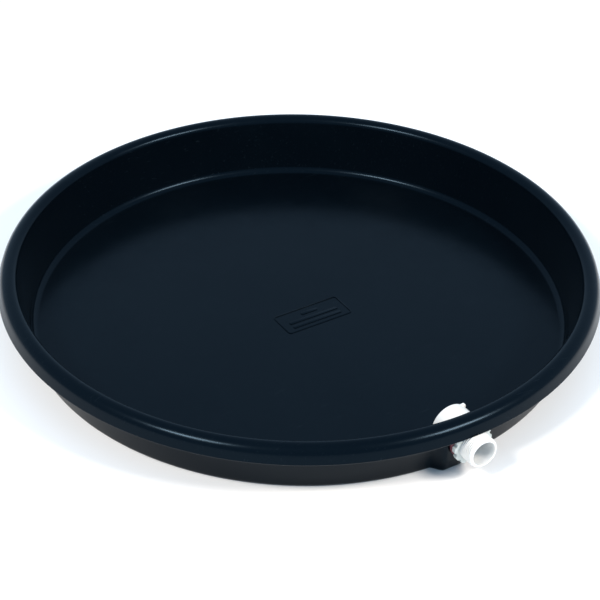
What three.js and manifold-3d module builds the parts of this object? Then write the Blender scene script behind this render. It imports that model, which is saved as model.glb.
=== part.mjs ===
// A round moulded drain pan with a threaded drain fitting through its wall.
//
// Millimetres, +Z up. The origin is at the centre of the pan's underside.
// The drain fitting points along -Y, and the raised plate on the floor lies along X.
import * as THREE from "three";
import { mergeVertices } from "three/addons/utils/BufferGeometryUtils.js";
import Module from "manifold-3d";

const wasm = await Module();
wasm.setup();

// ---- Driving dimensions: pan ----
const INSIDE_RADIUS = 304.8; // 24 in across the inside of the rim
const PAN_HEIGHT = 70.6;
const WALL = 3.4; // one wall thickness for the side, the rim and the boss
const FLOOR = 3.4;
const WALL_DRAFT = 11.7; // degrees that the side leans outwards
const FLOOR_FILLET = 8.4;
const BASE_ROUND = 5;
const RIM_INNER_ROUND = 8;
const RIM_OUTER_ROUND = 11.5;
const SKIRT_DROP = 17.9; // from the rim's crest down to the edge of its skirt
const SKIRT_FLARE = 17.5; // degrees that the skirt leans outwards

// ---- Driving dimensions: raised plate on the floor ----
const PLATE_LENGTH = 82;
const PLATE_WIDTH = 36;
const PLATE_CORNER = 4;
const PLATE_LINE = 1.4;
const PLATE_RAISE = 0.7;
const PLATE_OFFSET_X = 8.3;
const PLATE_OFFSET_Y = -14.8;
const BAR_WIDTH = 4.5;
const BAR_CORNER = 1.5;
// Each bar's length, and its place up from the plate's middle.
const BARS = [
  { length: 20.5, offset: 8 },
  { length: 61.5, offset: -1.5 },
  { length: 61.5, offset: -9.5 },
];

// ---- Driving dimensions: drain fitting ----
const DRAIN_HEIGHT = 37.5; // its axis above the pan's underside
const SPIGOT_RADIUS = 16.7; // over the thread's crests, a 1 in pipe size
const SPIGOT_WALL = 3.35; // leaves a 3/4 in slip socket as the bore
const SPIGOT_LENGTH = 30.4; // past the boss's flat face
const THREAD_PITCH = 2.209; // 11.5 threads to the inch
const THREAD_DEPTH = 1.3;
const TOOTH_ROOT = 1.4;
const TOOTH_CREST = 0.4;
const TOOTH_SUNK = 0.4; // into the core, so that the two join
const THREAD_LEAD_IN = 1; // the thread starts this far inside the boss's flat face
const THREAD_END_MARGIN = 3;
const HEAD_LAND = 4.8; // the head's edge, out from the spigot
const HEAD_DEPTH = 21.5;
const HEAD_CHAMFER = 1;
const HEAD_LUGS = 2;
const LUG_RAISE = 2.6;
const LUG_RADIUS = 4;
const LUG_DEPTH = 4; // the lugs are only at the head's open end
const FIRST_LUG_ANGLE = 48; // degrees up from +X
const GASKET_LAND = 4.3; // the seals' edges, out from the spigot
const WASHER_LAND = 4.5;
const GASKET_THICKNESS = 2.8;
const WASHER_THICKNESS = 7;
const NUT_WALL = 3.7;
const NUT_LUG_RAISE = 2;
const NUT_LUGS = 12;
const NUT_LUG_SHARE = 0.55; // share of the nut's edge that its lugs take
const NUT_LUG_FLANK = 1.25; // a lug's foot, as a share of its tip
const NUT_DEPTH = 5.1;

// ---- Driving dimensions: flat boss in the wall, which the fitting clamps ----
const BOSS_PROUD = 0.2; // its face stands this far out of the leaning wall at the washer's top
const BOSS_CORNER = 8;
const BOSS_FOOT_HEIGHT = 14; // below this its face leans back to the base
const BOSS_FOOT_DROP = 3.5; // how far its face has leaned back at the base

// ---- Clearances ----
const TOUCH = 0.3; // between pieces that rest on each other
const HEAD_SIDE_GAP = 0.7; // beside the head's lugs, in the pocket behind the boss
const HOLE_CLEARANCE = 0.6; // round the spigot, in the boss
const SKIRT_CLEARANCE = 0.5; // round the spigot, where it passes under the skirt
const SEAL_CLEARANCE = 0.35; // round the spigot, in the two seals
const THREAD_CLEARANCE = 0.35; // radial, between the nut's thread and the spigot's
const FLANK_CLEARANCE = 0.2; // along the axis, on each flank of the thread

// ---- Facets ----
const PAN_FACETS = 96;
const FITTING_FACETS = 28; // also the steps in one turn of the thread

// ---- Worked out ----
const draft = THREE.MathUtils.degToRad(WALL_DRAFT);
const flare = THREE.MathUtils.degToRad(SKIRT_FLARE);
const CREST_RADIUS = INSIDE_RADIUS + RIM_INNER_ROUND;
const WALL_TOP = PAN_HEIGHT - RIM_INNER_ROUND;
const THREAD_ROOT = SPIGOT_RADIUS - THREAD_DEPTH;
const HEAD_RADIUS = SPIGOT_RADIUS + HEAD_LAND;
const WASHER_RADIUS = SPIGOT_RADIUS + WASHER_LAND;
const GASKET_RADIUS = SPIGOT_RADIUS + GASKET_LAND;
const NUT_HUB_RADIUS = SPIGOT_RADIUS + NUT_WALL;
const NUT_LUG_RADIUS = NUT_HUB_RADIUS + NUT_LUG_RAISE;
const BOSS_HALF_WIDTH = HEAD_RADIUS + LUG_RAISE + HEAD_SIDE_GAP + WALL;

// How far each face of the fitting's stack stands from the pan's axis.
const BOSS_REACH = outsideRadiusAt(DRAIN_HEIGHT + WASHER_RADIUS) + BOSS_PROUD;
const POCKET_REACH = BOSS_REACH - WALL;
const GASKET_BACK = POCKET_REACH - TOUCH;
const GASKET_FRONT = GASKET_BACK - GASKET_THICKNESS;
const HEAD_BACK = GASKET_FRONT - TOUCH;
const HEAD_FRONT = HEAD_BACK - HEAD_DEPTH;
const WASHER_BACK = BOSS_REACH + TOUCH;
const WASHER_FRONT = WASHER_BACK + WASHER_THICKNESS;
const NUT_BACK = WASHER_FRONT + TOUCH;
const NUT_FRONT = NUT_BACK + NUT_DEPTH;
const THREAD_START = BOSS_REACH - THREAD_LEAD_IN;
const SPIGOT_REACH = BOSS_REACH + SPIGOT_LENGTH;
const THREAD_END = SPIGOT_REACH - THREAD_END_MARGIN;

/** The radius of the side's inner face at a height above the underside. */
function insideRadiusAt(height) {
  return INSIDE_RADIUS - (WALL_TOP - height) * Math.tan(draft);
}

/** The radius of the side's outer face at a height above the underside. */
function outsideRadiusAt(height) {
  return insideRadiusAt(height) + WALL / Math.cos(draft);
}

/** Where a round of a given radius, between a level face and the side, leaves the level face. */
function roundStart(cornerRadius, radius) {
  return cornerRadius - radius * Math.tan((Math.PI / 2 - draft) / 2);
}

/** A closed geometry as a solid that can be joined and cut. */
function solidOf(geometry) {
  const bare = geometry.index ? geometry.toNonIndexed() : geometry.clone();
  bare.deleteAttribute("normal");
  bare.deleteAttribute("uv");
  const merged = mergeVertices(bare, 1e-4);
  return new wasm.Manifold(
    new wasm.Mesh({
      numProp: 3,
      vertProperties: merged.attributes.position.array,
      triVerts: new Uint32Array(merged.index.array),
    }),
  );
}

/** A solid back as a geometry. */
function geometryOf(solid) {
  const mesh = solid.getMesh();
  const geometry = new THREE.BufferGeometry();
  geometry.setAttribute(
    "position",
    new THREE.BufferAttribute(new Float32Array(mesh.vertProperties), 3),
  );
  geometry.setIndex(new THREE.BufferAttribute(new Uint32Array(mesh.triVerts), 1));
  geometry.computeVertexNormals();
  return geometry;
}

/** Points of an arc about (cx, cy), from one angle to another, in degrees. */
function arc(cx, cy, radius, from, to, steps) {
  return Array.from({ length: steps + 1 }, (_, i) => {
    const angle = THREE.MathUtils.degToRad(from + ((to - from) * i) / steps);
    return new THREE.Vector2(cx + radius * Math.cos(angle), cy + radius * Math.sin(angle));
  });
}

/** A turned solid about +Z, from a profile of (radius, height) that ends on the axis. */
function turned(profile) {
  return solidOf(new THREE.LatheGeometry(profile, PAN_FACETS).rotateX(Math.PI / 2));
}

/** A turned solid about the drain's axis, from a profile of (radius, reach). */
function turnedOnDrain(profile) {
  return solidOf(new THREE.LatheGeometry(profile, FITTING_FACETS));
}

/** A plain cylinder on the drain's axis, between two reaches. */
function drainCylinder(radius, from, to) {
  const profile = [
    new THREE.Vector2(0, from),
    new THREE.Vector2(radius, from),
    new THREE.Vector2(radius, to),
    new THREE.Vector2(0, to),
  ];
  return turnedOnDrain(profile);
}

/** A flat outline extruded upwards from one height to another. */
function raised(shape, from, to, curveSegments = 6) {
  const options = { depth: to - from, bevelEnabled: false, curveSegments };
  return solidOf(new THREE.ExtrudeGeometry(shape, options).translate(0, 0, from));
}

/** A rectangle with rounded corners, centred on a point. */
function roundedRectangle(width, height, corner, x = 0, y = 0) {
  const right = x + width / 2;
  const left = x - width / 2;
  const top = y + height / 2;
  const bottom = y - height / 2;
  const shape = new THREE.Shape();
  shape.absarc(right - corner, top - corner, corner, 0, Math.PI / 2);
  shape.absarc(left + corner, top - corner, corner, Math.PI / 2, Math.PI);
  shape.absarc(left + corner, bottom + corner, corner, Math.PI, Math.PI * 1.5);
  shape.absarc(right - corner, bottom + corner, corner, Math.PI * 1.5, Math.PI * 2);
  return shape;
}

/** A round edge with lugs that stand out of it, as an outline. */
function luggedOutline(radius, lugRadius, lugs, lugShare) {
  const shape = new THREE.Shape();
  const step = (Math.PI * 2) / lugs;
  const half = (step * lugShare) / 2;
  for (let i = 0; i < lugs; i++) {
    const middle = i * step;
    shape.absarc(0, 0, lugRadius, middle - half, middle + half);
    shape.absarc(0, 0, radius, middle + half * NUT_LUG_FLANK, middle + step - half * NUT_LUG_FLANK);
  }
  return shape;
}

/** A right-hand helix about the drain's axis, whose frame always faces the axis. */
class Helix extends THREE.Curve {
  constructor(radius, from, turns) {
    super();
    this.radius = radius;
    this.from = from;
    this.turns = turns;
  }

  getPoint(t, target = new THREE.Vector3()) {
    const angle = t * this.turns * Math.PI * 2;
    const reach = this.from + t * this.turns * THREAD_PITCH;
    return target.set(this.radius * Math.sin(angle), reach, this.radius * Math.cos(angle));
  }

  getPointAt(t, target) {
    return this.getPoint(t, target);
  }

  computeFrenetFrames(segments) {
    const frames = { tangents: [], normals: [], binormals: [] };
    for (let i = 0; i <= segments; i++) {
      const angle = (i / segments) * this.turns * Math.PI * 2;
      const outward = new THREE.Vector3(Math.sin(angle), 0, Math.cos(angle));
      const back = new THREE.Vector3(0, -1, 0);
      frames.normals.push(outward);
      frames.binormals.push(back);
      frames.tangents.push(new THREE.Vector3().crossVectors(outward, back));
    }
    return frames;
  }
}

/** One thread's tooth, swept along its helix: sunk into the core, and wider by a clearance. */
function threadTooth(from, to, radialClearance, flankClearance) {
  const steps = Math.ceil(((to - from) / THREAD_PITCH) * FITTING_FACETS);
  const slope = (TOOTH_ROOT - TOOTH_CREST) / THREAD_DEPTH / 2;
  const crest = THREAD_DEPTH + radialClearance;
  const halfAt = (height) => TOOTH_ROOT / 2 + flankClearance - height * slope;
  const tooth = new THREE.Shape();
  tooth.moveTo(-TOOTH_SUNK, -halfAt(0));
  tooth.lineTo(0, -halfAt(0));
  tooth.lineTo(crest, -halfAt(crest));
  tooth.lineTo(crest, halfAt(crest));
  tooth.lineTo(0, halfAt(0));
  tooth.lineTo(-TOOTH_SUNK, halfAt(0));
  const path = new Helix(THREAD_ROOT, from, steps / FITTING_FACETS);
  return solidOf(new THREE.ExtrudeGeometry(tooth, { steps, extrudePath: path }));
}

/** The pan's section: floor, leaning side, rolled rim and its open skirt. */
function panShell() {
  const baseX = roundStart(outsideRadiusAt(0), BASE_ROUND);
  const filletX = roundStart(insideRadiusAt(FLOOR), FLOOR_FILLET);
  const under = RIM_INNER_ROUND - WALL;
  const skirtCentreHeight = PAN_HEIGHT - RIM_OUTER_ROUND;
  const skirtEdge = PAN_HEIGHT - SKIRT_DROP;
  const skirtStart = (radius) => ({
    x: CREST_RADIUS + radius * Math.cos(flare),
    y: skirtCentreHeight + radius * Math.sin(flare),
  });
  const skirtEdgeRadius = (radius) =>
    skirtStart(radius).x + (skirtStart(radius).y - skirtEdge) * Math.tan(flare);
  const innerSkirt = RIM_OUTER_ROUND - WALL;
  const profile = [
    new THREE.Vector2(0, 0),
    ...arc(baseX, BASE_ROUND, BASE_ROUND, -90, -WALL_DRAFT, 3),
    ...arc(CREST_RADIUS, WALL_TOP, under, 180 - WALL_DRAFT, 90, 3),
    ...arc(CREST_RADIUS, skirtCentreHeight, innerSkirt, 90, SKIRT_FLARE, 3).slice(1),
    new THREE.Vector2(skirtEdgeRadius(innerSkirt), skirtEdge),
    new THREE.Vector2(skirtEdgeRadius(RIM_OUTER_ROUND), skirtEdge),
    ...arc(CREST_RADIUS, skirtCentreHeight, RIM_OUTER_ROUND, SKIRT_FLARE, 90, 5),
    ...arc(CREST_RADIUS, WALL_TOP, RIM_INNER_ROUND, 90, 180 - WALL_DRAFT, 4).slice(1),
    ...arc(filletX, FLOOR + FLOOR_FILLET, FLOOR_FILLET, -WALL_DRAFT, -90, 4),
    new THREE.Vector2(0, FLOOR),
  ];
  return turned(profile);
}

/** Everything inside the pan, above its floor and up past its rim. */
function panInside() {
  const cornerRadius = insideRadiusAt(FLOOR);
  const profile = [
    new THREE.Vector2(0, FLOOR),
    new THREE.Vector2(cornerRadius, FLOOR),
    new THREE.Vector2(insideRadiusAt(WALL_TOP), WALL_TOP),
    new THREE.Vector2(0, WALL_TOP),
  ];
  return turned(profile);
}

/** The outline, from above, of the boss or of the pocket behind it. */
function bossOutline(halfWidth, reach, corner) {
  const back = roundStart(insideRadiusAt(FLOOR), FLOOR_FILLET);
  const shape = new THREE.Shape();
  shape.moveTo(halfWidth, -back);
  shape.lineTo(halfWidth, corner - reach);
  shape.absarc(halfWidth - corner, -reach + corner, corner, 0, -Math.PI / 2, true);
  shape.absarc(corner - halfWidth, -reach + corner, corner, -Math.PI / 2, -Math.PI, true);
  shape.lineTo(-halfWidth, -back);
  return shape;
}

/** The boss, or the pocket behind it: upright down to its foot, where its face leans back. */
function bossBlock(halfWidth, reach, corner, from, to) {
  const foot = [
    new THREE.Vector2(0, 0),
    new THREE.Vector2(reach - BOSS_FOOT_DROP, 0),
    new THREE.Vector2(reach, BOSS_FOOT_HEIGHT),
    new THREE.Vector2(reach * 2, BOSS_FOOT_HEIGHT),
    new THREE.Vector2(reach * 2, PAN_HEIGHT),
    new THREE.Vector2(0, PAN_HEIGHT),
  ];
  return raised(bossOutline(halfWidth, reach, corner), from, to).intersect(turned(foot));
}

/** The raised frame on the floor, with plain bars in it. */
function floorPlate() {
  const top = FLOOR + PLATE_RAISE;
  const sunk = FLOOR / 2;
  const frame = roundedRectangle(
    PLATE_LENGTH,
    PLATE_WIDTH,
    PLATE_CORNER,
    PLATE_OFFSET_X,
    PLATE_OFFSET_Y,
  );
  frame.holes.push(
    roundedRectangle(
      PLATE_LENGTH - 2 * PLATE_LINE,
      PLATE_WIDTH - 2 * PLATE_LINE,
      PLATE_CORNER - PLATE_LINE,
      PLATE_OFFSET_X,
      PLATE_OFFSET_Y,
    ),
  );
  const barOutline = ({ length, offset }) =>
    roundedRectangle(length, BAR_WIDTH, BAR_CORNER, PLATE_OFFSET_X, PLATE_OFFSET_Y + offset);
  return BARS.reduce(
    (all, bar) => all.add(raised(barOutline(bar), sunk, top, 2)),
    raised(frame, sunk, top, 3),
  );
}

/** A cylinder on the drain's axis in the pan's own frame, between two reaches. */
function drainCut(radius, from, to) {
  const cut = new THREE.CylinderGeometry(radius, radius, to - from, FITTING_FACETS);
  return solidOf(cut.translate(0, -(from + to) / 2, DRAIN_HEIGHT));
}

/** One moulding: floor, side, rim, drain boss with its hole, and the plate on the floor. */
function panBody() {
  const boss = bossBlock(BOSS_HALF_WIDTH, BOSS_REACH, BOSS_CORNER, 0, WALL_TOP);
  const pocketCorner = Math.max(BOSS_CORNER - WALL, WALL / 2);
  const pocketHalfWidth = BOSS_HALF_WIDTH - WALL;
  const pocket = bossBlock(pocketHalfWidth, POCKET_REACH, pocketCorner, FLOOR, PAN_HEIGHT);
  const hole = drainCut(SPIGOT_RADIUS + HOLE_CLEARANCE, POCKET_REACH - WALL, BOSS_REACH + WALL);
  const underSkirt = drainCut(SPIGOT_RADIUS + SKIRT_CLEARANCE, BOSS_REACH + WALL, SPIGOT_REACH);
  // Room for the nut, which only cuts the lip if the fitting is made bigger.
  const nutRoom = drainCut(NUT_LUG_RADIUS + TOUCH, WASHER_FRONT, NUT_FRONT + TOUCH);
  const whole = panShell().add(boss.subtract(panInside()));
  const cut = whole.subtract(pocket).subtract(hole).subtract(underSkirt).subtract(nutRoom);
  return geometryOf(cut.add(floorPlate()));
}

/** The head's lugs: short ribs round its open end that a hand can hold. */
function headLugs() {
  const lugs = [];
  for (let i = 0; i < HEAD_LUGS; i++) {
    const angle = THREE.MathUtils.degToRad(FIRST_LUG_ANGLE + (i * 360) / HEAD_LUGS);
    const centre = HEAD_RADIUS + LUG_RAISE - LUG_RADIUS;
    const rib = new THREE.CylinderGeometry(LUG_RADIUS, LUG_RADIUS, LUG_DEPTH, 16);
    rib.translate(centre * Math.cos(angle), HEAD_FRONT + LUG_DEPTH / 2, -centre * Math.sin(angle));
    lugs.push(solidOf(rib));
  }
  return lugs;
}

/** The fitting's one moulding: head inside the pan, threaded spigot outside, bore through both. */
function drainAdapter() {
  const outside = [
    new THREE.Vector2(0, HEAD_FRONT),
    new THREE.Vector2(HEAD_RADIUS - HEAD_CHAMFER, HEAD_FRONT),
    new THREE.Vector2(HEAD_RADIUS, HEAD_FRONT + HEAD_CHAMFER),
    new THREE.Vector2(HEAD_RADIUS, HEAD_BACK),
    new THREE.Vector2(SPIGOT_RADIUS, HEAD_BACK),
    new THREE.Vector2(SPIGOT_RADIUS, THREAD_START),
    new THREE.Vector2(THREAD_ROOT, THREAD_START + THREAD_DEPTH),
    new THREE.Vector2(THREAD_ROOT, SPIGOT_REACH),
    new THREE.Vector2(0, SPIGOT_REACH),
  ];
  const thread = threadTooth(THREAD_START, THREAD_END, 0, 0);
  const bore = drainCylinder(SPIGOT_RADIUS - SPIGOT_WALL, HEAD_FRONT - WALL, SPIGOT_REACH + WALL);
  const whole = headLugs().reduce((all, lug) => all.add(lug), turnedOnDrain(outside));
  return geometryOf(whole.add(thread).subtract(bore));
}

/** A flat ring seal that fits over the spigot. */
function seal(radius, from, to) {
  const inner = SPIGOT_RADIUS + SEAL_CLEARANCE;
  const profile = [
    new THREE.Vector2(inner, from),
    new THREE.Vector2(radius, from),
    new THREE.Vector2(radius, to),
    new THREE.Vector2(inner, to),
    new THREE.Vector2(inner, from),
  ];
  return geometryOf(turnedOnDrain(profile));
}

/** The lock nut: a lugged ring with the spigot's thread cut into it. */
function lockNut() {
  const outline = luggedOutline(NUT_HUB_RADIUS, NUT_LUG_RADIUS, NUT_LUGS, NUT_LUG_SHARE);
  const options = { depth: NUT_DEPTH, bevelEnabled: false, curveSegments: 3 };
  const blank = new THREE.ExtrudeGeometry(outline, options);
  blank.rotateX(-Math.PI / 2).translate(0, NUT_BACK, 0);
  const bore = drainCylinder(THREAD_ROOT + THREAD_CLEARANCE, NUT_BACK - WALL, NUT_FRONT + WALL);
  const groove = threadTooth(THREAD_START, THREAD_END, THREAD_CLEARANCE, FLANK_CLEARANCE);
  return geometryOf(solidOf(blank).subtract(bore).subtract(groove));
}

/** A named mesh with its own material. */
function piece(name, geometry, color, roughness) {
  const material = new THREE.MeshStandardMaterial({ color, roughness, metalness: 0 });
  const mesh = new THREE.Mesh(geometry, material);
  mesh.name = name;
  return mesh;
}

const drainPan = new THREE.Group();
drainPan.add(piece("pan_body", panBody(), 0x17232f, 0.38));

// In this group +Y runs out along the drain, so a place is its reach from the pan's axis.
const drainFitting = new THREE.Group();
drainFitting.position.z = DRAIN_HEIGHT;
drainFitting.rotation.x = Math.PI;
drainFitting.add(
  piece("drain_adapter", drainAdapter(), 0xf2f2ee, 0.4),
  piece("head_gasket", seal(GASKET_RADIUS, GASKET_FRONT, GASKET_BACK), 0x4a1f28, 0.7),
  piece("wall_washer", seal(WASHER_RADIUS, WASHER_BACK, WASHER_FRONT), 0x4a1f28, 0.7),
  piece("lock_nut", lockNut(), 0xe4e6e2, 0.45),
);
drainPan.add(drainFitting);

export default drainPan;
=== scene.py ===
# %% [markdown]
# # A moulded drain pan and its threaded drain fitting
# The pan is one thin moulding: a wide floor, a leaning side and a rolled lip whose skirt hangs open.
# Its drain is a fitting of four pieces: a headed spigot, a rubber ring on each side of the wall,
# and a lock nut.
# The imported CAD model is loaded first, and every size below is either read from it or is one of its sizes.

# %% Load the frame
import math
import bmesh
import bpy
from mathutils import Matrix, Vector


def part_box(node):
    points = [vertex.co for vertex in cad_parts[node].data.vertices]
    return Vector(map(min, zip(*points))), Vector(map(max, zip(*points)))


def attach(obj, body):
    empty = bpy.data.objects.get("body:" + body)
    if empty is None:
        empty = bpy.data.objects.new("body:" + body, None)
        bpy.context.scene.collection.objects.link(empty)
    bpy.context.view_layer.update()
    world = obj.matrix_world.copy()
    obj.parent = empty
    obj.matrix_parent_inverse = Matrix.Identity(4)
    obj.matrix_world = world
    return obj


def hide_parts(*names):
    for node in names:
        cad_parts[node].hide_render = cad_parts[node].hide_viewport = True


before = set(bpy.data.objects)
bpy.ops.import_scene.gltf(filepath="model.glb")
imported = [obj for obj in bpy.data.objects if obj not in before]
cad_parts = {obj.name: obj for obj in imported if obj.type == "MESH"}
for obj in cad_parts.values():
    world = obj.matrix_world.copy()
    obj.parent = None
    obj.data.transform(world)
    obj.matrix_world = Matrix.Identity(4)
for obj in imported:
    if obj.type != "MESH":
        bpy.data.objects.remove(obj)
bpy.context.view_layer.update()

# %% [markdown]
# A moulding has one wall thickness nearly everywhere, because thick spots sink as the plastic cools.
# So the sizes are few: the wall, the rounds, the lean of the side and the flare of the skirt.
# Heights and reaches are taken from the boxes of the CAD pieces, so that both models stay one design.

# %% Sizes, in metres
MM = 0.001
WALL = 3.4 * MM
FLOOR = 3.4 * MM
LEAN = math.radians(11.7)
FLOOR_FILLET = 8.4 * MM
BASE_ROUND = 5 * MM
LIP_INNER_ROUND = 8 * MM
LIP_OUTER_ROUND = 11.5 * MM
SKIRT_FLARE = math.radians(17.5)
SKIRT_EDGE_ROUND = 0.9 * MM
THREAD_PITCH = 2.209 * MM
THREAD_DEPTH = 1.3 * MM
TOOTH_ROOT = 1.4 * MM
TOOTH_CREST = 0.4 * MM
SPIGOT_RADIUS = 16.7 * MM
BORE_RADIUS = 13.35 * MM
HOLE_RADIUS = 17.3 * MM
HEAD_RADIUS = 21.5 * MM
LUG_RAISE = 2.6 * MM
LUG_DEPTH = 4 * MM
NUT_RADIUS = 20.4 * MM
FOOT_HEIGHT = 14 * MM
FOOT_DROP = 3.5 * MM

pan_low, pan_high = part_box("pan_body")
adapter_low, adapter_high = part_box("drain_adapter")
gasket_low, gasket_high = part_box("head_gasket")
washer_low, washer_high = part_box("wall_washer")
nut_low, nut_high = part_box("lock_nut")

PAN_HEIGHT = pan_high.z
SKIRT_RADIUS = pan_high.x
DRAIN_HEIGHT = (washer_low.z + washer_high.z) / 2
SPIGOT_END = -adapter_low.y
HEAD_FRONT = -adapter_high.y
GASKET_FRONT = -gasket_high.y
GASKET_BACK = -gasket_low.y
WASHER_BACK = -washer_high.y
WASHER_FRONT = -washer_low.y
NUT_BACK = -nut_high.y
NUT_FRONT = -nut_low.y
GASKET_RADIUS = gasket_high.x
WASHER_RADIUS = washer_high.x
TOUCH = NUT_BACK - WASHER_FRONT
BOSS_REACH = WASHER_BACK - TOUCH
POCKET_REACH = GASKET_BACK + TOUCH
HEAD_BACK = GASKET_FRONT - TOUCH
print(f"pan {2 * SKIRT_RADIUS:.4f} m across, {PAN_HEIGHT:.4f} m high; drain axis at {DRAIN_HEIGHT:.4f} m")

# %% [markdown]
# The section of the lip fixes the rest: its skirt leaves the outer round at the flare angle.
# Working backwards from the skirt's edge gives the crest, and from the crest the inside radius follows.

# %% Work out the section's radii
SKIRT_DROP = 17.9 * MM
skirt_fall = SKIRT_DROP - LIP_OUTER_ROUND + LIP_OUTER_ROUND * math.sin(SKIRT_FLARE)
CREST_RADIUS = SKIRT_RADIUS - skirt_fall * math.tan(SKIRT_FLARE) - LIP_OUTER_ROUND * math.cos(SKIRT_FLARE)
INSIDE_RADIUS = CREST_RADIUS - LIP_INNER_ROUND
WALL_TOP = PAN_HEIGHT - LIP_INNER_ROUND
SKIRT_EDGE = PAN_HEIGHT - SKIRT_DROP


def inside_radius(height):
    """The radius of the side's inner face at a height."""
    return INSIDE_RADIUS - (WALL_TOP - height) * math.tan(LEAN)


def outside_radius(height):
    """The radius of the side's outer face at a height."""
    return inside_radius(height) + WALL / math.cos(LEAN)


def round_start(corner, radius):
    """Where a round between a level face and the side leaves the level face."""
    return corner - radius * math.tan((math.pi / 2 - LEAN) / 2)


print(f"inside radius {INSIDE_RADIUS:.4f} m, crest radius {CREST_RADIUS:.4f} m")

# %% [markdown]
# Some helpers come up again and again. Every piece ends as an object at the origin with its place in its
# mesh, smooth faces, and sharp edges wherever two faces meet at more than a set angle.
# That keeps rounds smooth and machined corners crisp with no modifier left on the piece.

# %% Helpers for meshes
SHARP_ANGLE = math.radians(32)


def finished(bm, name):
    """Turns a bmesh into a linked object with smooth faces and sharp corners."""
    bmesh.ops.recalc_face_normals(bm, faces=bm.faces)
    mesh = bpy.data.meshes.new(name)
    bm.to_mesh(mesh)
    bm.free()
    return shaded(mesh, name)


def shaded(mesh, name):
    """Links a mesh as an object and sets which of its edges are sharp."""
    for polygon in mesh.polygons:
        polygon.use_smooth = True
    mesh.set_sharp_from_angle(angle=SHARP_ANGLE)
    piece = bpy.data.objects.new(name, mesh)
    bpy.context.scene.collection.objects.link(piece)
    return piece


def arc(centre, radius, start, end, steps):
    """Points of an arc in a section, with angles in radians."""
    angles = (start + (end - start) * i / steps for i in range(steps + 1))
    return [(centre[0] + radius * math.cos(a), centre[1] + radius * math.sin(a)) for a in angles]


def combined(piece, other, operation):
    """Joins or cuts a piece with another one, which is used up."""
    modifier = piece.modifiers.new(operation.lower(), "BOOLEAN")
    modifier.operation = operation
    modifier.solver = "EXACT"
    modifier.object = other
    bpy.context.view_layer.update()
    whole = piece.evaluated_get(bpy.context.evaluated_depsgraph_get())
    mesh = bpy.data.meshes.new_from_object(whole)
    name = piece.name
    bpy.data.objects.remove(piece)
    bpy.data.objects.remove(other)
    clean = bmesh.new()
    clean.from_mesh(mesh)
    bmesh.ops.remove_doubles(clean, verts=clean.verts, dist=0.002 * MM)
    clean.to_mesh(mesh)
    clean.free()
    return shaded(mesh, name)


def measured(piece):
    """Prints how big a piece came out, and whether it is one closed surface."""
    bm = bmesh.new()
    bm.from_mesh(piece.data)
    open_edges = sum(not edge.is_manifold for edge in bm.edges)
    volume = bm.calc_volume()
    triangles = sum(len(face.verts) - 2 for face in bm.faces)
    bm.free()
    size = ", ".join(f"{side / MM:.1f}" for side in piece.dimensions)
    print(f"{piece.name}: {size} mm, {triangles} triangles, {volume * 1e6:.2f} cm3, {open_edges} open edges")


# %% [markdown]
# ## The camera
# A long lens from a little over two metres keeps the far side of the pan nearly as wide as the near side.
# It looks down at about 35 degrees, with the drain turned to the right of the near side.

# %% Place the camera
VIEW_AZIMUTH = math.radians(-33)
VIEW_ELEVATION = math.radians(35.44)
VIEW_ROLL = math.radians(1.22)
VIEW_DISTANCE = 2.228
SENSOR = 36
LENS = 121.15

camera = bpy.data.objects.new("camera", bpy.data.cameras.new("camera"))
bpy.context.scene.collection.objects.link(camera)
bpy.context.scene.camera = camera
camera.data.sensor_width = SENSOR
camera.data.lens = LENS
camera.data.shift_x = 0.0013
camera.data.shift_y = 0.0175
camera.data.clip_start = 0.1
camera.data.clip_end = 50
backwards = Vector((
    math.sin(VIEW_AZIMUTH) * math.cos(VIEW_ELEVATION),
    -math.cos(VIEW_AZIMUTH) * math.cos(VIEW_ELEVATION),
    math.sin(VIEW_ELEVATION),
))
camera.rotation_mode = "QUATERNION"
aim = backwards.to_track_quat("Z", "Y")
camera.rotation_quaternion = aim @ Matrix.Rotation(VIEW_ROLL, 3, "Z").to_quaternion()
camera.location = backwards * VIEW_DISTANCE + Vector((0, 0, FLOOR))
print(f"camera at {tuple(round(c, 3) for c in camera.location)}")

# %% [markdown]
# ## The pan's section
# The pan is turned from one section: underside, base round, leaning side, the underside of the lip, the open
# skirt with its small rounded edge, over the crest and back down the inside to the floor.
# A lathe section could be drawn as a curve with a Screw modifier. Here it is a chain of vertices in a bmesh,
# because the wall then gets its own rows of vertices, which the boss for the drain will need.

# %% Draw the section
WALL_ROWS = 30
FLOOR_RINGS = 9


def straight(start, end, steps):
    """Points between two points of a section, with neither end."""
    share = [i / steps for i in range(1, steps)]
    return [(start[0] + (end[0] - start[0]) * s, start[1] + (end[1] - start[1]) * s) for s in share]


def skirt_point(radius, height):
    """A point on the skirt's straight part, for the face that continues a round of this radius."""
    start = (
        CREST_RADIUS + radius * math.cos(SKIRT_FLARE),
        PAN_HEIGHT - LIP_OUTER_ROUND + radius * math.sin(SKIRT_FLARE),
    )
    return (start[0] + (start[1] - height) * math.tan(SKIRT_FLARE), height)


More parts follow.
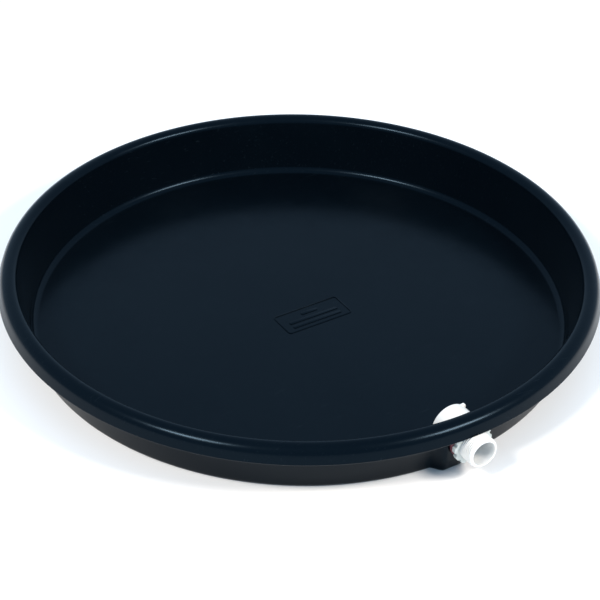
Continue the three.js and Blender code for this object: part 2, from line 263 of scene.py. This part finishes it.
def pan_section():
    """The section's points, from the axis along the underside and back to the axis along the floor."""
    base_start = round_start(outside_radius(0), BASE_ROUND)
    fillet_start = round_start(inside_radius(FLOOR), FLOOR_FILLET)
    lip_centre = (CREST_RADIUS, WALL_TOP)
    skirt_centre = (CREST_RADIUS, PAN_HEIGHT - LIP_OUTER_ROUND)
    skirt_inner = LIP_OUTER_ROUND - WALL
    base = arc((base_start, BASE_ROUND), BASE_ROUND, -math.pi / 2, -LEAN, 6)
    under_lip = arc(lip_centre, LIP_INNER_ROUND - WALL, math.pi - LEAN, math.pi / 2, 6)
    under_skirt = arc(skirt_centre, skirt_inner, math.pi / 2, SKIRT_FLARE, 7)[1:]
    edge_height = SKIRT_EDGE + SKIRT_EDGE_ROUND
    edge_inner = skirt_point(skirt_inner, edge_height)
    edge_outer = skirt_point(LIP_OUTER_ROUND, edge_height)
    inner_corner = (edge_inner[0] + SKIRT_EDGE_ROUND, edge_height)
    outer_corner = (edge_outer[0] - SKIRT_EDGE_ROUND, edge_height)
    edge = arc(inner_corner, SKIRT_EDGE_ROUND, math.pi, 1.5 * math.pi, 3)
    edge += arc(outer_corner, SKIRT_EDGE_ROUND, -math.pi / 2, 0, 3)
    over_skirt = arc(skirt_centre, LIP_OUTER_ROUND, SKIRT_FLARE, math.pi / 2, 12)
    over_lip = arc(lip_centre, LIP_INNER_ROUND, math.pi / 2, math.pi - LEAN, 10)[1:]
    fillet = arc((fillet_start, FLOOR + FLOOR_FILLET), FLOOR_FILLET, -LEAN, -math.pi / 2, 8)
    side_out = straight(base[-1], under_lip[0], WALL_ROWS)
    side_in = straight(over_lip[-1], fillet[0], WALL_ROWS)
    underside = [(0, 0)] + straight((0, 0), base[0], FLOOR_RINGS)
    floor = straight(fillet[-1], (0, FLOOR), FLOOR_RINGS) + [(0, FLOOR)]
    skirt_in = straight(under_skirt[-1], edge[0], 3)
    skirt_out = straight(edge[-1], over_skirt[0], 4)
    lower = underside + base + side_out + under_lip + under_skirt + skirt_in
    return lower + edge + skirt_out + over_skirt + over_lip + side_in + fillet + floor


section = pan_section()
print(f"the section has {len(section)} points")

# %% [markdown]
# ## Turning the section
# Spin sweeps the chain about the Z axis. The stretch round the drain gets narrow columns, because the boss is
# shaped there, and the rest gets wider ones that still look round. The two sweeps are merged where they meet,
# and the ends of the chain, which lie on the axis, merge into one point each.

# %% Spin the pan
DRAIN_DIRECTION = -math.pi / 2
FINE_ANGLE = math.radians(26)
FINE_STEPS = 104
COARSE_STEPS = 222


def turned_pan():
    """The pan before its boss, as a closed bmesh."""
    bm = bmesh.new()
    start = DRAIN_DIRECTION - FINE_ANGLE / 2
    across = Vector((math.cos(start), math.sin(start), 0))
    chain = [bm.verts.new(across * r + Vector((0, 0, z))) for r, z in section]
    links = [bm.edges.new(pair) for pair in zip(chain, chain[1:])]
    fine = bmesh.ops.spin(
        bm, geom=chain + links, axis=(0, 0, 1), cent=(0, 0, 0),
        angle=FINE_ANGLE, steps=FINE_STEPS, use_merge=False,
    )
    bmesh.ops.spin(
        bm, geom=fine["geom_last"], axis=(0, 0, 1), cent=(0, 0, 0),
        angle=math.tau - FINE_ANGLE, steps=COARSE_STEPS, use_merge=False,
    )
    bmesh.ops.remove_doubles(bm, verts=bm.verts, dist=0.001 * MM)
    bmesh.ops.dissolve_degenerate(bm, edges=bm.edges, dist=0.0005 * MM)
    return bm


pan = turned_pan()
print(f"turned pan: {len(pan.faces)} faces")

# %% [markdown]
# ## The boss for the drain
# A fitting can't seal on a round, leaning wall, so the mould pushes the wall out to a flat upright face.
# It could be a boolean with a block, but its edges would then be hard lines. On the real moulding the wall
# flows into the flat, so here the wall's own vertices are moved outwards: by the gap between the wall and the
# flat, eased to nothing at the sides with a smoothstep. The inner face moves too, so the wall keeps its
# thickness and a pocket forms behind the boss. Below the washer the boss leans back, so that it leaves the
# mould easily and meets the base in one soft corner.

# %% Push the boss out of the wall
BOSS_FLAT_HALF = 21 * MM
BOSS_SIDE = 11 * MM
BOSS_BLEND = 0.6 * MM
FREE_HEIGHT = PAN_HEIGHT - LIP_INNER_ROUND


def smoothstep(value):
    """Eases from 0 to 1 as value goes from 0 to 1."""
    value = min(max(value, 0), 1)
    return value * value * (3 - 2 * value)


def pushed(vertex, reach, face_radius, flat_half):
    """How far a vertex moves along -Y, so that its face of the wall reaches the flat."""
    across = abs(vertex.co.x)
    share = 1 - smoothstep((across - flat_half) / BOSS_SIDE)
    radius = face_radius(vertex.co.z)
    foot = FOOT_DROP * max(1 - vertex.co.z / FOOT_HEIGHT, 0)
    gap = reach - foot - math.sqrt(max(radius * radius - across * across, 0))
    return share * (gap + math.hypot(gap, BOSS_BLEND)) / 2


def push_boss(bm):
    """Moves the wall's outer and inner faces to the boss's and the pocket's flats."""
    outer_start = round_start(outside_radius(0), BASE_ROUND) - 0.1 * MM
    inner_start = round_start(inside_radius(FLOOR), FLOOR_FILLET) - 0.1 * MM
    moved = 0
    for vertex in bm.verts:
        radius = vertex.co.xy.length
        height = vertex.co.z
        if vertex.co.y > 0 or height > FREE_HEIGHT + 2 * MM:
            continue
        outer = height < FLOOR / 2 or radius > outside_radius(height) - WALL / 2
        in_wall = radius < outside_radius(height) + WALL / 2
        if outer and in_wall and radius > outer_start:
            step = pushed(vertex, BOSS_REACH, outside_radius, BOSS_FLAT_HALF)
        elif not outer and height > FLOOR / 2 and radius > inner_start:
            step = pushed(vertex, POCKET_REACH, inside_radius, BOSS_FLAT_HALF - WALL / 2)
        else:
            continue
        vertex.co.y -= step
        moved += 1
    return moved


print(f"moved {push_boss(pan)} vertices for the boss")
pan_body = finished(pan, "drain_pan_body")
measured(pan_body)

# %% [markdown]
# ## The hole and the plate
# The drain's hole is bored after moulding, so a boolean is right for it: its edge really is sharp.
# The plate on the floor is a raised outline of the mould with plain bars in it. Each bar is a cube squashed
# flat whose upright edges are bevelled round, and the outline is the same with its middle cut away.

# %% Bore the hole and raise the plate
PLATE_LENGTH = 82 * MM
PLATE_WIDTH = 36 * MM
PLATE_CORNER = 4 * MM
PLATE_LINE = 1.4 * MM
PLATE_RAISE = 0.7 * MM
PLATE_PLACE = Vector((8.3 * MM, -14.8 * MM, FLOOR))
BAR_WIDTH = 4.5 * MM
BAR_CORNER = 1.5 * MM
BARS = ((20.5 * MM, 8 * MM), (61.5 * MM, -1.5 * MM), (61.5 * MM, -9.5 * MM))


def drain_cylinder(name, radius, start, end, segments=128):
    """A cylinder on the drain's axis, between two reaches from the pan's axis."""
    bm = bmesh.new()
    place = Matrix.Translation((0, -(start + end) / 2, DRAIN_HEIGHT)) @ Matrix.Rotation(math.pi / 2, 4, "X")
    bmesh.ops.create_cone(
        bm, cap_ends=True, segments=segments, radius1=radius, radius2=radius, depth=end - start, matrix=place,
    )
    return finished(bm, name)


def rounded_bar(name, length, width, corner, offset, height, sunk):
    """A flat bar with round corners and a softened top edge, sunk into the floor."""
    bm = bmesh.new()
    bmesh.ops.create_cube(bm, size=1)
    bmesh.ops.scale(bm, vec=(length, width, height + sunk), verts=bm.verts)
    bmesh.ops.translate(bm, vec=(0, 0, (height - sunk) / 2), verts=bm.verts)
    upright = [e for e in bm.edges if abs(e.verts[0].co.z - e.verts[1].co.z) > height / 2]
    bmesh.ops.bevel(
        bm, geom=upright, offset=corner, segments=6, profile=0.5, affect="EDGES", material=-1,
    )
    top = [e for e in bm.edges if all(v.co.z > height - 0.01 * MM for v in e.verts)]
    bmesh.ops.bevel(
        bm, geom=top, offset=height * 0.4, segments=2, profile=0.5, affect="EDGES", material=-1,
    )
    bmesh.ops.translate(bm, vec=PLATE_PLACE + Vector((0, offset, 0)), verts=bm.verts)
    return finished(bm, name)


hole = drain_cylinder("hole_cutter", HOLE_RADIUS, POCKET_REACH - WALL, BOSS_REACH + WALL)
pan_body = combined(pan_body, hole, "DIFFERENCE")

outline = rounded_bar("plate_outline", PLATE_LENGTH, PLATE_WIDTH, PLATE_CORNER, 0, PLATE_RAISE, FLOOR / 2)
middle = rounded_bar(
    "plate_middle", PLATE_LENGTH - 2 * PLATE_LINE, PLATE_WIDTH - 2 * PLATE_LINE,
    PLATE_CORNER - PLATE_LINE, 0, 3 * PLATE_RAISE, FLOOR,
)
outline = combined(outline, middle, "DIFFERENCE")
pan_body = combined(pan_body, outline, "UNION")
for length, offset in BARS:
    bar = rounded_bar("plate_bar", length, BAR_WIDTH, BAR_CORNER, offset, PLATE_RAISE, FLOOR / 2)
    pan_body = combined(pan_body, bar, "UNION")
measured(pan_body)

# %% [markdown]
# ## A real thread
# A thread is one tooth's section carried round the axis and along it at once, and spin does both when it is
# given a step along the axis. The section is exactly one pitch long, so the end of each turn merges with the
# start of the next, and the rod's skin is one surface. Two cuts square to the axis then trim and cap it.

# %% The threaded rod
THREAD_STEPS = 56


def drain_frame(bm):
    """Turns a bmesh built along +Z into the drain's place, with +Z running out along -Y."""
    turn = Matrix.Translation((0, 0, DRAIN_HEIGHT)) @ Matrix.Rotation(math.pi / 2, 4, "X")
    bmesh.ops.transform(bm, matrix=turn, verts=bm.verts)


def threaded_rod(name, start, end, clearance=0.0, flank=0.0, runout=0.0):
    """A solid rod with the fitting's thread between two reaches, tapered to its root over the runout."""
    root = SPIGOT_RADIUS - THREAD_DEPTH + clearance
    crest = SPIGOT_RADIUS + clearance
    root_half = TOOTH_ROOT / 2 + flank
    crest_half = TOOTH_CREST / 2 + flank
    origin = BOSS_REACH - 10 * THREAD_PITCH
    turns = math.ceil((end - origin) / THREAD_PITCH) + 2
    points = [
        (root, -THREAD_PITCH / 2), (root, -root_half), (crest, -crest_half),
        (crest, crest_half), (root, root_half), (root, THREAD_PITCH / 2),
    ]
    bm = bmesh.new()
    chain = [bm.verts.new((r, 0, origin + z)) for r, z in points]
    links = [bm.edges.new(pair) for pair in zip(chain, chain[1:])]
    bmesh.ops.spin(
        bm, geom=chain + links, axis=(0, 0, 1), cent=(0, 0, 0), angle=math.tau * turns,
        steps=THREAD_STEPS * turns, dvec=(0, 0, THREAD_PITCH / THREAD_STEPS), use_merge=False,
    )
    bmesh.ops.remove_doubles(bm, verts=bm.verts, dist=0.002 * MM)
    for reach, away in ((start, -1), (end, 1)):
        cut = bmesh.ops.bisect_plane(
            bm, geom=bm.verts[:] + bm.edges[:] + bm.faces[:], dist=0.0005 * MM,
            plane_co=(0, 0, reach), plane_no=(0, 0, away), clear_outer=True,
        )
        rim = [e for e in cut["geom_cut"] if isinstance(e, bmesh.types.BMEdge)]
        bmesh.ops.contextual_create(bm, geom=rim)
    for vertex in bm.verts:
        limit = root + (end - vertex.co.z) / max(runout, MM) * THREAD_DEPTH
        radius = vertex.co.xy.length
        if runout and radius > max(limit, root - THREAD_DEPTH / 2):
            vertex.co.xy *= max(limit, root - THREAD_DEPTH / 2) / radius
    drain_frame(bm)
    return finished(bm, name)


rod = threaded_rod("spigot_thread", BOSS_REACH - MM, SPIGOT_END, runout=2.2 * MM)
measured(rod)

# %% [markdown]
# ## The adapter
# Inside the pan the adapter ends in a round hub, with two short lugs at its open end that a hand can grip.
# The lugged end starts as a circle whose points are pushed out where a lug is, is pulled up into a disc, and
# has its rims bevelled. Hub, shank and rod are joined to it, and one bore goes through them all.

# %% Head, shank and bore
HEAD_LUGS = 2
FIRST_LUG = math.radians(48)
LUG_WIDTH = math.radians(20)
RIM_BEVEL = 0.9 * MM


def lugged_disc(name, radius, raise_at, start, end, bevel, segments=240):
    """A disc on the drain's axis whose edge is raised by a function of the angle."""
    bm = bmesh.new()
    bmesh.ops.create_circle(bm, cap_ends=True, segments=segments, radius=radius)
    for vertex in bm.verts:
        angle = math.atan2(vertex.co.y, vertex.co.x)
        vertex.co *= 1 + raise_at(angle) / radius
    bmesh.ops.translate(bm, vec=(0, 0, start), verts=bm.verts)
    grown = bmesh.ops.extrude_face_region(bm, geom=bm.faces[:])
    raised = [v for v in grown["geom"] if isinstance(v, bmesh.types.BMVert)]
    bmesh.ops.translate(bm, vec=(0, 0, end - start), verts=raised)
    bmesh.ops.recalc_face_normals(bm, faces=bm.faces)
    rims = [e for e in bm.edges if abs(e.verts[0].co.z - e.verts[1].co.z) < 0.01 * MM]
    bmesh.ops.bevel(bm, geom=rims, offset=bevel, segments=4, profile=0.5, affect="EDGES", material=-1)
    drain_frame(bm)
    return finished(bm, name)


def head_raise(angle):
    """A round lug every half turn."""
    step = math.tau / HEAD_LUGS
    away = (angle - FIRST_LUG + step / 2) % step - step / 2
    return LUG_RAISE * (1 - smoothstep(abs(away) / (LUG_WIDTH / 2)))


def no_raise(_angle):
    """A plain round edge."""
    return 0


adapter = lugged_disc(
    "drain_adapter_moulding", HEAD_RADIUS, head_raise, HEAD_FRONT, HEAD_FRONT + LUG_DEPTH, RIM_BEVEL,
)
hub = lugged_disc("hub", HEAD_RADIUS, no_raise, HEAD_FRONT + LUG_DEPTH / 2, HEAD_BACK, RIM_BEVEL)
shank = drain_cylinder("shank", SPIGOT_RADIUS, HEAD_BACK - 2 * MM, BOSS_REACH - 0.5 * MM)
adapter = combined(adapter, hub, "UNION")
adapter = combined(adapter, shank, "UNION")
adapter = combined(adapter, rod, "UNION")
bore = drain_cylinder("bore_cutter", BORE_RADIUS, HEAD_FRONT - WALL, SPIGOT_END + WALL)
adapter = combined(adapter, bore, "DIFFERENCE")
measured(adapter)

# %% [markdown]
# ## The lock nut
# The nut is a ring with a lugged edge, so that it can be held while the adapter is turned.
# Its thread is cut with the same rod, made a little bigger, so the two really mesh with room to turn.

# %% Nut
NUT_LUGS = 12
NUT_LUG_RAISE = 2.0 * MM
LUG_SHARE = 0.52
LUG_FLANK = 0.16


def nut_raise(angle):
    """Square-shouldered lugs with short sloping flanks."""
    step = math.tau / NUT_LUGS
    away = abs((angle + step / 2) % step - step / 2) / step * 2
    return NUT_LUG_RAISE * (1 - smoothstep((away - LUG_SHARE) / LUG_FLANK))


nut = lugged_disc("lock_nut_moulding", NUT_RADIUS, nut_raise, NUT_BACK, NUT_FRONT, 0.55 * MM, segments=360)
tap = threaded_rod("nut_tap", NUT_BACK - 3 * MM, NUT_FRONT + 3 * MM, clearance=0.35 * MM, flank=0.2 * MM)
nut = combined(nut, tap, "DIFFERENCE")
measured(nut)

# %% [markdown]
# ## The two seals
# Each seal is a flat rubber ring squeezed between plastic faces, so its free edge bulges a little.
# The ring's section is a rectangle whose outer side is an arc, spun about the drain's axis.

# %% Seals
SEAL_CLEARANCE = 0.35 * MM
SEAL_SEGMENTS = 128


def seal_ring(name, radius, start, end):
    """A flat ring with a bulging edge, as a spun section."""
    inner = SPIGOT_RADIUS + SEAL_CLEARANCE
    bulge = (end - start) / 5
    corner = radius - bulge
    rise = (end - start) / 2
    bend = (rise * rise + bulge * bulge) / (2 * bulge)
    half = math.asin(rise / bend)
    edge = arc((radius - bend, (start + end) / 2), bend, -half, half, 8)
    middle = (inner + corner) / 2
    points = [(inner, start), (middle, start)] + edge + [(middle, end), (inner, end)]
    bm = bmesh.new()
    chain = [bm.verts.new((r, 0, z)) for r, z in points]
    links = [bm.edges.new(pair) for pair in zip(chain, chain[1:] + chain[:1])]
    bmesh.ops.spin(
        bm, geom=chain + links, axis=(0, 0, 1), cent=(0, 0, 0),
        angle=math.tau, steps=SEAL_SEGMENTS, use_merge=True,
    )
    drain_frame(bm)
    return finished(bm, name)


head_seal = seal_ring("head_gasket_ring", GASKET_RADIUS, GASKET_FRONT, GASKET_BACK)
wall_seal = seal_ring("wall_washer_ring", WASHER_RADIUS, WASHER_BACK, WASHER_FRONT)
measured(head_seal)
measured(wall_seal)

# %% [markdown]
# ## Materials
# A small helper adds a node and its settings in one line. Patterns read Object coordinates, in metres, so
# they stay where they are on the piece. What is the same all over a surface is set on the shader itself.

# %% Helpers for materials


class Finish:
    """A material with a Principled shader, and short ways to add nodes to it."""

    def __init__(self, name, **settings):
        self.material = bpy.data.materials.new(name)
        self.material.use_nodes = True
        self.nodes = self.material.node_tree.nodes
        self.links = self.material.node_tree.links
        self.shader = self.nodes["Principled BSDF"]
        for socket, value in settings.items():
            self.shader.inputs[socket.replace("_", " ")].default_value = value
        self.place = self.nodes.new("ShaderNodeTexCoord").outputs["Object"]

    def node(self, kind, inputs=(), **settings):
        """Adds a node. Each input is (socket, value), and a value may be another node's output."""
        made = self.nodes.new("ShaderNode" + kind)
        for name, value in settings.items():
            setattr(made, name, value)
        for socket, value in inputs:
            if isinstance(value, bpy.types.NodeSocket):
                self.links.new(value, made.inputs[socket])
            else:
                made.inputs[socket].default_value = value
        return made

    def noise(self, scale, detail=3.0, roughness=0.5, distortion=0.0, vector=None):
        """Noise on Object coordinates: scale is waves per metre."""
        inputs = [("Vector", vector or self.place), ("Scale", scale), ("Detail", detail)]
        inputs += [("Roughness", roughness), ("Distortion", distortion)]
        return self.node("TexNoise", inputs).outputs["Fac"]

    def mapped(self, value, low, high, to_low, to_high):
        """A value moved from one range to another, and kept in it."""
        inputs = [("Value", value), ("From Min", low), ("From Max", high)]
        inputs += [("To Min", to_low), ("To Max", to_high)]
        return self.node("MapRange", inputs).outputs["Result"]

    def mix(self, share, first, second):
        """Two colours mixed by a share."""
        node = self.node("Mix", [("Factor", share)], data_type="RGBA")
        colours = [socket for socket in node.inputs if socket.type == "RGBA"]
        for socket, value in zip(colours, (first, second)):
            if isinstance(value, bpy.types.NodeSocket):
                self.links.new(value, socket)
            else:
                socket.default_value = (*value, 1)
        return next(socket for socket in node.outputs if socket.type == "RGBA")

    def bump(self, height, strength, distance, normal=None):
        """A bump of a real height in metres, over an earlier one if given."""
        inputs = [("Height", height), ("Strength", strength), ("Distance", distance)]
        inputs += [("Normal", normal)] if normal else []
        return self.node("Bump", inputs).outputs["Normal"]

    def feed(self, socket, value):
        """Links a value to the shader."""
        self.links.new(value, self.shader.inputs[socket])


# %% [markdown]
# The pan is black polyethylene with a faint blue cast and a satin skin. Such a moulding isn't even: the floor
# dries in broad patches, the skin has a fine grain, and handling leaves short hairline scratches.
# Patches go to the roughness, the grain and a slow waviness to the bump, and scratches are noise stretched
# until only thin streaks are left.

# %% The pan's plastic


def pan_plastic():
    finish = Finish("pan_plastic", IOR=1.5, Specular_IOR_Level=0.12, Specular_Tint=(0.45, 0.72, 1.0, 1.0))
    patches = finish.noise(7, detail=4, roughness=0.6)
    cloud = finish.noise(38, detail=5, roughness=0.65)
    grain = finish.noise(2600, detail=2)
    waviness = finish.noise(9, detail=1)
    hairline = [("Vector", finish.place), ("Rotation", (0, 0, 0.5)), ("Scale", (40, 900, 300))]
    stretched = finish.node("Mapping", hairline)
    streaks = finish.noise(1.0, detail=2, vector=stretched.outputs["Vector"])
    scratch = finish.mapped(streaks, 0.66, 0.74, 0, 1)
    dark, bloomed, scraped = (0.0007, 0.0019, 0.0034), (0.0011, 0.0026, 0.0044), (0.016, 0.024, 0.032)
    colour = finish.mix(finish.mapped(patches, 0.3, 0.7, 0, 1), dark, bloomed)
    faint = finish.node("Math", [(0, scratch), (1, 0.2)], operation="MULTIPLY")
    colour = finish.mix(faint.outputs[0], colour, scraped)
    finish.feed("Base Color", colour)
    rough = finish.mapped(cloud, 0.3, 0.7, 0.19, 0.25)
    finish.feed("Roughness", rough)
    normal = finish.bump(waviness, 0.06, 0.0012)
    normal = finish.bump(grain, 0.25, 0.00002, normal)
    finish.feed("Normal", normal)
    return finish.material


# %% [markdown]
# The adapter is white rigid plastic. It lets a little light in, so its edges glow, and its skin has the soft
# ripple of a moulded part, with soft random patches of a slightly greyer, dustier tone.

# %% The fitting's plastics


def fitting_plastic(name, clean, dusty, rough):
    finish = Finish(name, IOR=1.5, Subsurface_Weight=0.08, Subsurface_Scale=0.0015)
    finish.shader.inputs["Subsurface Radius"].default_value = (1.0, 0.9, 0.75)
    tone = finish.noise(90, detail=4, roughness=0.6)
    dust = finish.noise(420, detail=3, roughness=0.7)
    colour = finish.mix(finish.mapped(tone, 0.35, 0.7, 0, 1), clean, dusty)
    finish.feed("Base Color", colour)
    finish.feed("Roughness", finish.mapped(dust, 0.3, 0.7, rough - 0.05, rough + 0.08))
    ripple = finish.bump(tone, 0.2, 0.0003)
    finish.feed("Normal", finish.bump(finish.noise(3000, detail=2), 0.2, 0.00002, ripple))
    return finish.material


def seal_rubber():
    finish = Finish("seal_rubber", IOR=1.5, Specular_IOR_Level=0.35)
    bloom = finish.noise(160, detail=5, roughness=0.7)
    colour = finish.mix(finish.mapped(bloom, 0.35, 0.7, 0, 1), (0.11, 0.018, 0.032), (0.17, 0.055, 0.07))
    finish.feed("Base Color", colour)
    finish.feed("Roughness", finish.mapped(bloom, 0.3, 0.7, 0.5, 0.66))
    finish.feed("Normal", finish.bump(finish.noise(1800, detail=3), 0.3, 0.00004))
    return finish.material


black = pan_plastic()
white = fitting_plastic("fitting_plastic", (0.74, 0.74, 0.73), (0.68, 0.68, 0.66), 0.32)
# The nut's own natural plastic is only slightly grey. Its darker grey-green here is painted shade for the
# shadow of the lip over the nut.
nut_grey_painted_shade = fitting_plastic("nut_plastic", (0.56, 0.60, 0.58), (0.47, 0.51, 0.49), 0.36)
maroon = seal_rubber()
print("materials:", [m.name for m in bpy.data.materials])

# %% [markdown]
# ## Joining the pieces to the frame
# Each piece rides on the body that its CAD node belongs to, hides that node, and names its material slot.

# %% Ride, replace, slot
pieces = (
    (pan_body, "pan", "pan_body", "pan_plastic", black),
    (nut, "pan", "lock_nut", "nut_plastic", nut_grey_painted_shade),
    (wall_seal, "pan", "wall_washer", "seal_rubber", maroon),
    (head_seal, "gasket", "head_gasket", "seal_rubber", maroon),
    (adapter, "adapter", "drain_adapter", "fitting_plastic", white),
)
for piece, body, node, slot, material in pieces:
    piece.data.materials.clear()
    piece.data.materials.append(material)
    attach(piece, body)
    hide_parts(node)
print(f"{len(pieces)} pieces ride on the frame")

# %% [markdown]
# ## Stage and light
# The pan stands on a wide pale floor. A black object with a weak gloss shows mostly what it reflects, so the
# light is arranged as reflections: an even bluish surround, and two warm soft boxes, high up on the left and
# on the right of the view, whose streaks lie along the near lip.

# %% Floor, surround and lamps


def pale_floor():
    bm = bmesh.new()
    bmesh.ops.create_grid(bm, x_segments=1, y_segments=1, size=8)
    floor = finished(bm, "studio_floor")
    finish = Finish("studio_floor", Roughness=0.9, Specular_IOR_Level=0.1)
    finish.shader.inputs["Base Color"].default_value = (0.93, 0.93, 0.93, 1)
    floor.data.materials.append(finish.material)
    return floor


WARM_WHITE = (1, 0.92, 0.83)


def soft_box(name, place, target, width, height, power):
    """An area lamp that faces a point."""
    lamp = bpy.data.lights.new(name, "AREA")
    lamp.shape = "RECTANGLE"
    lamp.size = width
    lamp.size_y = height
    lamp.energy = power
    lamp.color = WARM_WHITE
    holder = bpy.data.objects.new(name, lamp)
    bpy.context.scene.collection.objects.link(holder)
    holder.location = place
    holder.rotation_mode = "QUATERNION"
    holder.rotation_quaternion = (Vector(place) - Vector(target)).to_track_quat("Z", "Y")
    return holder


def from_camera(right, forward, up):
    """A place in the room: metres to the camera's right, away from it, and up."""
    side = Vector((math.cos(VIEW_AZIMUTH), math.sin(VIEW_AZIMUTH), 0))
    ahead = Vector((-math.sin(VIEW_AZIMUTH), math.cos(VIEW_AZIMUTH), 0))
    return side * right + ahead * forward + Vector((0, 0, up))


SURROUND = (0.5, 0.74, 1, 1)
SURROUND_STRENGTH = 0.8
PAN_CENTRE = (0, 0, 0)

pale_floor()
world = bpy.data.worlds.new("surround")
bpy.context.scene.world = world
world.use_nodes = True
world.node_tree.nodes["Background"].inputs["Color"].default_value = SURROUND
world.node_tree.nodes["Background"].inputs["Strength"].default_value = SURROUND_STRENGTH
soft_box("left_box", from_camera(-1.48, -1.61, 2.32), PAN_CENTRE, 0.9, 0.5, 84)
soft_box("right_box", from_camera(2.05, -1.05, 2.0), PAN_CENTRE, 0.9, 0.5, 76)
bpy.context.scene.view_settings.view_transform = "Standard"
print("lamps:", [lamp.name for lamp in bpy.data.lights])
